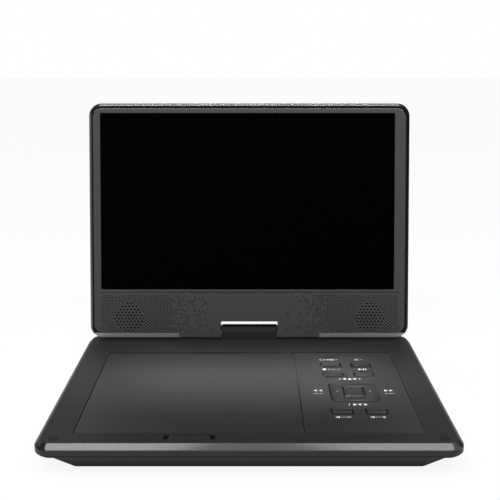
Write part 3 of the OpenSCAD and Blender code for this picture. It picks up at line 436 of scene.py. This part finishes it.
# 0 inset panel, 1 surround, 2 rim in front and behind, 3 walls and inside, darker than the deck as painted shade,
# 4 hinge pad, 5 underside, darker still as painted shade, 6 corner facets facing left or mostly sideways, painted
# near-black as shade, 7 rim at the sides, paler and nearly matt as a painted highlight
def shellFace(face):
    centre = face.calc_center_median()
    if all(v.co.z > deckZ + 0.5 * hingePadHigh for v in face.verts):
        return 4
    if face.normal.z > 0.95 and insetZ - 0.1 * mm < centre.z < deckZ - 0.1 * mm:
        return 0
    if face.normal.z > 0.95:
        return 1
    outside = max(abs(centre.x) - shellHi.x, abs(centre.y - baseMid) - (shellHi.y - shellLo.y) / 2)
    if 0.2 < face.normal.z < 0.95 and outside > -4 * mm:
        along, across = abs(face.normal.x), abs(face.normal.y)
        if along > 0.12 and across > 0.12 and (face.normal.x < 0 or across < 0.75 * along):
            return 6
        return 7 if across < 0.12 else 2
    return 5 if face.normal.z < -0.2 and outside > -2 * mm else 3


# Cuts level faces both ways through a point, so that none is left with a hole inside it
def splitLevelFaces(bm, level, mid):
    for normal in ((1, 0, 0), (0, 1, 0)):
        flat = [f for f in bm.faces if all(abs(v.co.z - level) < onLevel for v in f.verts)]
        around = list({e for f in flat for e in f.edges}) + list({v for f in flat for v in f.verts})
        bmesh.ops.bisect_plane(bm, geom=flat + around, dist=1e-7, plane_co=mid, plane_no=normal)


# Height of the widest face that looks down
def undersideLevel(bm):
    bm.normal_update()
    down = [f for f in bm.faces if f.normal.z < -0.99]
    return max(down, key=lambda f: f.calc_area()).verts[0].co.z


def addTopShell():
    bm = cadCopy("base_top_shell")
    look = shellLook
    keysLo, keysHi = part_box("key_stop")[0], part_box("key_menu")[1]
    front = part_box("key_volume_down")[0]
    room = look["keyRoom"]

    def byKeys(edge):
        return all(keysLo.x - room < v.co.x < keysHi.x + room and front.y - room < v.co.y < keysHi.y + room
                   and v.co.z > insetZ - 0.1 * mm for v in edge.verts)

    # The openings in the right wall come too close to its foot for a rounded edge
    def bySockets(edge):
        return all(v.co.x > shellHi.x - look["wallBand"] and v.co.z < deckZ - look["wallTop"] for v in edge.verts)

    foot = min(v.co.z for v in bm.verts if v.co.x > shellHi.x - look["wall"])
    splitLevelFaces(bm, foot, Vector((0, 0, 0)))
    for node in ("key_stop", "key_play"):
        splitLevelFaces(bm, undersideLevel(bm), nodeMid(node)[0])
    soften(bm, look["keyEdge"], 3, keep=byKeys)
    soften(bm, look["edge"], look["segments"], 40, keep=lambda edge: not byKeys(edge) and not bySockets(edge))
    looks = ("deck", "surround", "rim", "wall", "hinge", "under", "lidRingPaintedShade", "rimSidePaintedSheen")
    makePiece("topShell", bm, "root", [finish[name] for name in looks], ["base_top_shell"],
              pick=shellFace)


def addBottomShell():
    bm = cadCopy("base_bottom_shell", 2.0)
    soften(bm, panLook["edge"], panLook["segments"], 25)
    makePiece("bottomShell", bm, "root", [finish["pan"]], ["base_bottom_shell"], 40)


addTopShell()
addBottomShell()
print("base shells made")


# Pieces whose CAD shape only needs its edges broken
def addSoftCopies():
    rows = [
        ("disc_cover", "discCover", "disc_cover", "deck", "cover_black", 0.2),
        ("open_slider", "openSlider", "open_slider", "key", "key_black", 0.12),
    ]
    for node, name, body, look, slot, radius in rows:
        bm = cadCopy(node)
        soften(bm, radius * mm)
        makePiece(name, bm, body, [finish[look]], [node])


keyLook = {"ends": 0.75 * mm, "front": 0.5 * mm, "edge": 0.4 * mm, "ringEdge": 0.55 * mm, "ringGap": 0.2 * mm,
           "enterGap": 0.3 * mm, "capDeep": 2.6 * mm, "edgeDeep": 1.6 * mm}


# Draws the cap's sides in so that the gap round it shows
def drawIn(bm, node, sideways, front):
    mid, low, high = nodeMid(node)
    half = (high - low) / 2
    for vert in [v for v in bm.verts if v.co.z > insetZ - keyLook["capDeep"]]:
        vert.co.x = mid.x + (vert.co.x - mid.x) * (half.x - sideways) / half.x
        if vert.co.y < mid.y:
            vert.co.y = mid.y + (vert.co.y - mid.y) * (half.y - front) / half.y


def addKeys():
    look = keyLook
    rows = [(key, key.replace("key_", "cap_"), look["ends"], look["front"], look["edge"]) for key in (
        "key_source", "key_menu", "key_stop", "key_play", "key_volume_down", "key_volume_up")]
    rows.append(("enter_key", "enterKey", look["enterGap"], look["enterGap"], look["edge"]))
    rows.append(("navigation_ring", "navigationRing", 0, look["ringGap"], look["ringEdge"]))
    for node, name, ends, front, edge in rows:
        bm = cadCopy(node)
        drawIn(bm, node, ends, front)
        if node == "navigation_ring":
            splitLevelFaces(bm, undersideLevel(bm), nodeMid(node)[0])
        soften(bm, edge, 3, keep=lambda e: all(v.co.z > insetZ - look["edgeDeep"] for v in e.verts))
        makePiece(name, bm, node, [finish["key"]], [node])


blockLook = {"edge": 0.35 * mm, "fill": 0.5 * mm, "slope": 3.5 * mm}


# 0 front and sides, 1 the slope over them, a near-black copy of the block's plastic as painted shade
def blockFace(face):
    return int(face.normal.z > 0.2)


def addHingeBlock():
    look = blockLook
    bm = cadCopy("hinge_block")
    for v in bm.verts:
        if v.co.z < blockHi.z - look["slope"] and abs(v.co.x) > blockHi.x - 0.1 * mm:
            v.co.x += math.copysign(look["fill"], v.co.x)
    soften(bm, look["edge"], 3)
    makePiece("hingeBlock", bm, "screen_hinge", [finish["hinge"], finish["hingeTopPaintedShade"]], ["hinge_block"],
              pick=blockFace)


symbolLook = {"height": 2.7 * mm, "step": 3.5 * mm, "ink": 0.02 * mm, "off": 0.03 * mm, "above": 6.2 * mm,
              "below": 3.9 * mm, "line": 2.4 * mm, "beside": 23.6 * mm, "ringArrow": 11 * mm}

# Each sign is bars (kind, x, y, wide, tall) and triangles (kind, x, y, radius, degrees) in parts of the height
signs = {
    "screen": [("bar", 0, 0.42, 1.3, 0.16), ("bar", 0, -0.42, 1.3, 0.16), ("bar", -0.6, 0, 0.16, 1.0),
               ("bar", 0.6, 0, 0.16, 1.0)],
    "arrow": [("bar", -0.25, 0, 0.7, 0.2), ("tri", 0.3, 0, 0.5, 0)],
    "lines": [("bar", 0, 0.38, 1.2, 0.2), ("bar", 0, 0, 1.2, 0.2), ("bar", 0, -0.38, 1.2, 0.2)],
    "dots": [("bar", -0.5, 0, 0.24, 0.24), ("bar", 0, 0, 0.24, 0.24), ("bar", 0.5, 0, 0.24, 0.24)],
    "stop": [("bar", 0, 0, 0.9, 0.9)],
    "play": [("tri", 0, 0, 0.62, 0)],
    "pause": [("bar", -0.28, 0, 0.28, 1.0), ("bar", 0.28, 0, 0.28, 1.0)],
    "left": [("tri", 0, 0, 0.6, 180)],
    "right": [("tri", 0, 0, 0.6, 0)],
    "up": [("tri", 0, -0.1, 0.6, 90)],
    "down": [("tri", 0, 0.1, 0.6, 270)],
    "edge": [("bar", 0, 0, 0.2, 1.1)],
    "speaker": [("bar", -0.35, 0, 0.4, 0.5), ("tri", 0.05, 0, 0.6, 180)],
    "minus": [("bar", 0, 0, 0.9, 0.22)],
    "plus": [("bar", 0, 0, 0.9, 0.22), ("bar", 0, 0.28, 0.22, 0.34), ("bar", 0, -0.28, 0.22, 0.34)],
    "dash": [("bar", 0, 0, 0.6, 0.18)],
}


def addSign(bm, name, x, y, z, height):
    for kind, dx, dy, a, b in signs[name]:
        at = Matrix.Translation((x + dx * height, y + dy * height, z))
        if kind == "bar":
            size = Matrix.Diagonal((a * height, b * height, 1, 1))
            bmesh.ops.create_grid(bm, x_segments=1, y_segments=1, size=0.5, matrix=at @ size)
        else:
            turn = Matrix.Rotation(math.radians(b - 90), 4, "Z")
            bmesh.ops.create_circle(bm, cap_ends=True, segments=3, radius=a * height, matrix=at @ turn)


# Gives flat signs the thickness of printed ink
def thickenInk(bm):
    ink = bmesh.ops.extrude_face_region(bm, geom=bm.faces[:])
    raised = [v for v in ink["geom"] if isinstance(v, bmesh.types.BMVert)]
    bmesh.ops.translate(bm, verts=raised, vec=(0, 0, symbolLook["ink"]))
    bmesh.ops.recalc_face_normals(bm, faces=bm.faces)


def addSymbols():
    look = symbolLook
    bm = bmesh.new()
    ringMid, ringLo, ringHi = nodeMid("navigation_ring")
    rows = []
    for node, words, side in (("key_source", "screen arrow lines dash", 1), ("key_menu", "lines dash", 1),
                              ("key_stop", "stop dash dots dash", 1), ("key_play", "play pause", 1),
                              ("key_volume_down", "speaker dots minus", -1),
                              ("key_volume_up", "speaker dots plus", -1)):
        mid, low, high = nodeMid(node)
        y = high.y + look["above"] if side > 0 else low.y - look["below"]
        rows.append((words, mid.x, y, look["height"]))
    half = (ringHi.x - ringLo.x) / 2
    rows += [("edge left up left edge", ringMid.x, ringMid.y + half + look["above"], look["height"]),
             ("edge right down right", ringMid.x, ringMid.y - half - look["below"], look["height"]),
             ("left left", ringMid.x - look["beside"], ringMid.y + look["line"], look["height"]),
             ("dots dash", ringMid.x - look["beside"], ringMid.y - look["line"], look["height"]),
             ("right right", ringMid.x + look["beside"], ringMid.y + look["line"], look["height"]),
             ("dash dots", ringMid.x + look["beside"], ringMid.y - look["line"], look["height"])]
    for words, x, y, height in rows:
        names = words.split()
        for place, name in enumerate(names):
            addSign(bm, name, x + (place - (len(names) - 1) / 2) * look["step"], y, insetZ + look["off"], height)
    thickenInk(bm)
    makePiece("panelSigns", bm, "root", [finish["ink"]], level=False)
    marks = bmesh.new()
    for side, name in ((-1, "left"), (1, "right")):
        addSign(marks, name, ringMid.x + side * look["ringArrow"], ringMid.y, ringHi.z + look["off"] / 3,
                look["height"] / 2)
    thickenInk(marks)
    makePiece("ringSigns", marks, "navigation_ring", [finish["ink"]], level=False)


padLook = {"x": 116.5 * mm, "radius": 3.1 * mm, "high": 0.25 * mm, "sunk": 0.2 * mm, "edge": 0.12 * mm}


# Soft round stops that the closed lid rests on
def addLidPads():
    look = padLook
    y = (coverLo.y + shellLo.y + cameraSet["bevel"]) / 2
    bm = bmesh.new()
    for side in (-1, 1):
        at = Matrix.Translation((side * look["x"], y, deckZ + (look["high"] - look["sunk"]) / 2))
        bmesh.ops.create_cone(bm, cap_ends=True, segments=40, radius1=look["radius"], radius2=look["radius"],
                              depth=look["high"] + look["sunk"], matrix=at)
    soften(bm, look["edge"], 2)
    makePiece("lidPads", bm, "root", [finish["pad"]])


addSoftCopies()
addKeys()
addHingeBlock()
addSymbols()
addLidPads()
print("cover, hinge block and keys made")


coverLook = {"edge": 0.4 * mm, "segments": 3}


# 0 gloss shell, 1 bevel along its top, 2 bevel along its foot, pale as a painted reflection of the bright front,
# 3 ring beside the bezel, the bevels facing right and the left corners, painted near-black as shade, 4 side bevel
# on the left
def lidFace(face):
    back = lidFrame.inverted()
    turn = back.to_3x3() @ face.normal
    at = back @ face.calc_center_median()
    outside = max(abs(at.x) - lidHi.x, at.y - lidHi.y, lidLo.y - at.y)
    if at.z < lidHi.z - 5 * mm or (outside > -1.2 * mm and turn.z < 0.35):
        return 0
    if turn.z > 0.93 or turn.z < 0.35 or turn.x > 0.12 or (turn.x < -0.1 and abs(turn.y) > 0.1):
        return 2 if turn.y < -0.5 and turn.z > 0.35 else 3
    if turn.y < -0.5:
        return 2
    return 1 if turn.y > 0.3 else 4


def addLidBack():
    bm = cadCopy("lid_back_cover")
    soften(bm, coverLook["edge"], coverLook["segments"])
    looks = ("lidBack", "lidTrim", "lidFootPaintedSheen", "lidRingPaintedShade", "lidSide")
    makePiece("lidBackCover", bm, "lid", [finish[name] for name in looks], ["lid_back_cover"],
              pick=lidFace)


bezelLook = {"edge": 0.3 * mm, "groove": 2.1 * mm, "grooveWide": 0.4 * mm, "dimple": 0.52 * mm, "wall": 0.1 * mm,
             "depth": 0.22 * mm, "stepX": 2.8 * mm, "stepY": 1.2 * mm, "edgeKeep": 4.6 * mm, "fadeFrom": 68 * mm,
             "fadeTo": 26 * mm, "grooveEnd": 4 * mm, "holeGap": 0.25 * mm, "margin": 2 * mm, "wrapped": 6 * mm}


# Sinks round dimples and one long groove into the face at a level of a plan
def sinkInto(bm, plan, level, dimples, groove, look):
    back = plan.inverted()
    flat = [f for f in bm.faces if all(abs((back @ v.co).z - level) < onLevel for v in f.verts)]
    members = set(flat)
    outline = [e for e in {e for f in flat for e in f.edges} if sum(f in members for f in e.link_faces) == 1]
    bmesh.ops.delete(bm, geom=flat, context="FACES_KEEP_BOUNDARY")
    rings = []
    for x, y in dimples:
        at = plan @ Matrix.Translation((x, y, level))
        ring = bmesh.ops.create_circle(bm, segments=8, radius=look["dimple"], matrix=at)
        rings += {e for v in ring["verts"] for e in v.link_edges}
    x0, x1, y0, y1 = groove
    middle = Matrix.Translation(((x0 + x1) / 2, (y0 + y1) / 2, level))
    at = plan @ middle @ Matrix.Diagonal((x1 - x0, y1 - y0, 1, 1))
    frameRing = bmesh.ops.create_circle(bm, segments=4, radius=math.sqrt(0.5),
                                        matrix=at @ Matrix.Rotation(math.radians(45), 4, "Z"))
    grooveEdges = list({e for v in frameRing["verts"] for e in v.link_edges})
    out = plan.to_3x3() @ Vector((0, 0, 1))
    bmesh.ops.triangle_fill(bm, use_beauty=True, use_dissolve=False, edges=outline + rings + grooveEdges,
                            normal=out)
    cups = bmesh.ops.edgeloop_fill(bm, edges=rings)["faces"]
    slotFace = bmesh.ops.edgeloop_fill(bm, edges=grooveEdges)["faces"]
    bm.normal_update()
    turned = [f for f in cups + slotFace if f.normal.dot(out) < 0]
    bmesh.ops.reverse_faces(bm, faces=turned)
    pits = set(cups) | set(slotFace)
    for faces, thickness in ((cups, look["wall"]), (slotFace, 0.02 * mm)):
        pits |= set(bmesh.ops.inset_individual(bm, faces=faces, thickness=thickness, depth=-look["depth"],
                                               use_even_offset=True)["faces"])
    return pits


# Rows of dimples, thinned out toward the middle of the lid by a fixed scatter
def dimplePlaces(taken):
    look = bezelLook
    found = []
    rows = int((windowLo.y - bezelLo.y) / look["stepY"])
    for row in range(rows):
        y = bezelLo.y + look["edgeKeep"] + row * look["stepY"]
        if y > windowLo.y - look["groove"] - look["margin"]:
            break
        for column in range(-50, 50):
            x = (column + 0.5 * (row % 2)) * look["stepX"]
            if abs(x) > bezelHi.x - look["edgeKeep"] or abs(x) < look["fadeTo"]:
                continue
            scatter = (row * row * 31 + column * column * 17 + row * column * 13) % 97
            fade = 97 * (look["fadeFrom"] - abs(x)) / (look["fadeFrom"] - look["fadeTo"])
            if abs(x) < look["fadeFrom"] and scatter < fade:
                continue
            if all((x - a) ** 2 + (y - b) ** 2 > r * r for a, b, r in taken):
                found.append((x, y))
    return found


# Round openings in a plan's face at a level, as centre and radius
def openingsIn(bm, plan, level, low, high):
    back = plan.inverted()
    seen, found = set(), []
    for edge in bm.edges:
        points = [back @ v.co for v in edge.verts]
        if edge in seen or any(abs(p.z - level) > onLevel or not (low < p.y < high) for p in points):
            continue
        if edge.calc_face_angle(0) < 0.5:
            continue
        group, front = [], [edge]
        while front:
            one = front.pop()
            if one in seen:
                continue
            seen.add(one)
            group.append(one)
            for vert in one.verts:
                for near in vert.link_edges:
                    if near not in seen and near.calc_face_angle(0) > 0.5 and all(
                            abs((back @ v.co).z - level) < onLevel for v in near.verts):
                        front.append(near)
        spots = [back @ v.co for e in group for v in e.verts]
        xs, ys = [p.x for p in spots], [p.y for p in spots]
        wide = max(max(xs) - min(xs), max(ys) - min(ys))
        if wide < 8 * mm:
            found.append(((max(xs) + min(xs)) / 2, (max(ys) + min(ys)) / 2, wide / 2))
    return found


def addBezel():
    look = bezelLook
    bm = cadCopy("lid_front_bezel")
    level = bezelHi.z
    low, high = bezelLo.y + look["margin"], windowLo.y - look["groove"]
    back = lidFrame.inverted()
    holes = openingsIn(bm, lidFrame, level, low, high)
    print("round openings in the bezel:", len(holes))

    def clearOfHoles(edge):
        points = [back @ v.co for v in edge.verts]
        return all(not low < p.y < high or abs(p.x) > bezelHi.x - 1 * mm for p in points)

    soften(bm, look["edge"], 2, 28, clearOfHoles)
    taken = [(x, y, r + look["dimple"] + look["holeGap"]) for x, y, r in holes]
    groove = (bezelLo.x + look["grooveEnd"], bezelHi.x - look["grooveEnd"], high - look["grooveWide"], high)
    bmesh.ops.recalc_face_normals(bm, faces=bm.faces)
    sunk = sinkInto(bm, lidFrame, level, dimplePlaces(taken), groove, look)
    bmesh.ops.recalc_face_normals(bm, faces=bm.faces)

    # Faces of the lower wrap look down at the dark deck; they take the pale copy of the bezel's plastic as
    # painted light
    def wrapped(face):
        turn = back.to_3x3() @ face.normal
        at = back @ face.calc_center_median()
        return turn.y < -0.3 and turn.z > 0.2 and at.y < bezelLo.y + look["wrapped"]

    # Walls of the round holes; they, the dimple cups and the groove take the near-black copy of the bezel's
    # plastic as painted shade
    def inHole(face):
        at = back @ face.calc_center_median()
        upright = abs((back.to_3x3() @ face.normal).z) < 0.5
        return upright and low < at.y < high and abs(at.x) < bezelHi.x - look["margin"]

    looks = ("bezel", "bezelPitPaintedShade", "bezelWrapPaintedLight")
    makePiece("lidBezel", bm, "lid", [finish[name] for name in looks], ["lid_front_bezel"],
              pick=lambda face: 1 if face in sunk or inHole(face) else 2 if wrapped(face) else 0)


addLidBack()
addBezel()
print("lid shells made")


nodeFinish = {
    "screen_window": "screen", "rubber_feet": "rubber", "base_screws": "darkScrew", "disc_tray": "tray",
    "cover_pins": "steel", "cover_spring": "steel", "latch_keeper": "chip", "latch_spring": "steel",
    "drive_chassis": "zinc", "drive_dampers": "rubber", "drive_screws": "steel", "spindle_motor": "zinc",
    "spindle_shaft": "steel", "turntable": "chip", "turntable_pad": "rubber", "clamp_balls": "steel",
    "guide_rods": "steel", "pickup_sled": "zinc", "pickup_lens": "lens", "lead_screw": "steel",
    "sled_motor": "zinc", "main_board": "board", "battery_pack": "battery", "key_board": "board",
    "tact_switches": "chip", "power_switch": "chip", "power_knob": "silver", "headphone_jack": "chip",
    "av_jack": "yellow", "power_jack": "chip", "swivel_bracket": "zinc", "bracket_screws": "darkScrew",
    "swivel_shaft": "steel", "swivel_washer": "zinc", "tilt_pins": "darkScrew", "lcd_panel": "zinc",
    "lcd_board": "board", "speaker_left": "slot", "speaker_right": "slot", "lid_screws": "darkScrew",
    "screw_plugs": "rubber", "hinge_leaves": "zinc", "leaf_screws": "darkScrew",
}
for node, look in nodeFinish.items():
    item = frame["nodes"][node]
    item.data.materials.clear()
    item.data.materials.append(finish[look])
print("CAD nodes finished")


def addFloor():
    bm = bmesh.new()
    bmesh.ops.create_grid(bm, x_segments=1, y_segments=1, size=6)
    mesh = bpy.data.meshes.new("floor")
    bm.to_mesh(mesh)
    bm.free()
    floor = bpy.data.objects.new("floor", mesh)
    bpy.context.scene.collection.objects.link(floor)
    material, tree, shader = newMaterial("paleFloor")
    shader.inputs["Base Color"].default_value = (0.9, 0.9, 0.9, 1)
    shader.inputs["Roughness"].default_value = 0.9
    shader.inputs["Specular IOR Level"].default_value = 0.0
    white = addNode(tree, "ShaderNodeEmission")
    path = addNode(tree, "ShaderNodeLightPath")
    mix = addNode(tree, "ShaderNodeMixShader")
    tree.links.new(mathNode(tree, "MULTIPLY", path.outputs["Is Camera Ray"], 0.9), mix.inputs[0])
    tree.links.new(shader.outputs[0], mix.inputs[1])
    tree.links.new(white.outputs[0], mix.inputs[2])
    tree.links.new(mix.outputs[0], tree.nodes["Material Output"].inputs["Surface"])
    mesh.materials.append(material)


def addWorld():
    world = bpy.data.worlds.new("studio")
    bpy.context.scene.world = world
    world.use_nodes = True
    tree = world.node_tree
    back = tree.nodes["Background"]
    path = addNode(tree, "ShaderNodeLightPath")
    coords = addNode(tree, "ShaderNodeTexCoord")
    split = addNode(tree, "ShaderNodeSeparateXYZ")
    tree.links.new(coords.outputs["Generated"], split.inputs[0])
    up = rangeNode(tree, split.outputs["Z"], 0.0, 1.0, 0.35, 0.9)
    pale = mathNode(tree, "MULTIPLY_ADD", path.outputs["Is Glossy Ray"], 0.25)
    tree.links.new(up, pale.node.inputs[2])
    side = rangeNode(tree, split.outputs["X"], -1.0, 1.0, 1.35, 0.45)
    strength = addNode(tree, "ShaderNodeMix", data_type="FLOAT")
    plain = mathNode(tree, "ADD", path.outputs["Is Camera Ray"], path.outputs["Is Transmission Ray"])
    tree.links.new(plain, strength.inputs["Factor"])
    tree.links.new(mathNode(tree, "MULTIPLY", pale, side), strength.inputs[2])
    strength.inputs[3].default_value = 1.0
    back.inputs["Color"].default_value = (1, 1, 1, 1)
    tree.links.new(strength.outputs[0], back.inputs["Strength"])


# Thin strips behind the lid's top and over the deck's back draw the lines of light on the bevels
stripOff, stripHigh = 0.045, 0.62
lidTop = lidFrame @ Vector((0, lidHi.y, lidHi.z))
lamps = [
    {"name": "leftBox", "at": (-0.34, -0.5, 0.95), "size": (0.5, 0.5), "power": 4.8},
    {"name": "rightBox", "at": (0.37, -0.5, 0.95), "size": (0.52, 0.5), "power": 4.4},
    {"name": "backStrip", "at": (0.0, lidTop.y + stripOff, stripHigh), "size": (0.36, 0.02), "power": 0.03,
     "aim": (0.0, lidTop.y + stripOff, 0.0), "spread": 16},
    {"name": "deckStrip", "at": (0.0, coverHi.y - stripOff, stripHigh), "size": (0.2, 0.02), "power": 0.14,
     "aim": (0.0, coverHi.y - stripOff, 0.0), "spread": 13},
]


def addLamp(name, at, size, power, aim=(0, 0, 0.02), spread=180):
    data = bpy.data.lights.new(name, "AREA")
    data.shape = "RECTANGLE"
    data.size, data.size_y = size
    data.energy = power
    data.spread = math.radians(spread)
    lamp = bpy.data.objects.new(name, data)
    bpy.context.scene.collection.objects.link(lamp)
    lamp.location = at
    lamp.rotation_euler = (Vector(aim) - Vector(at)).to_track_quat("-Z", "Y").to_euler()


addFloor()
addWorld()
for lamp in lamps:
    addLamp(**lamp)
bpy.context.scene.view_settings.view_transform = "Standard"
print("studio set")
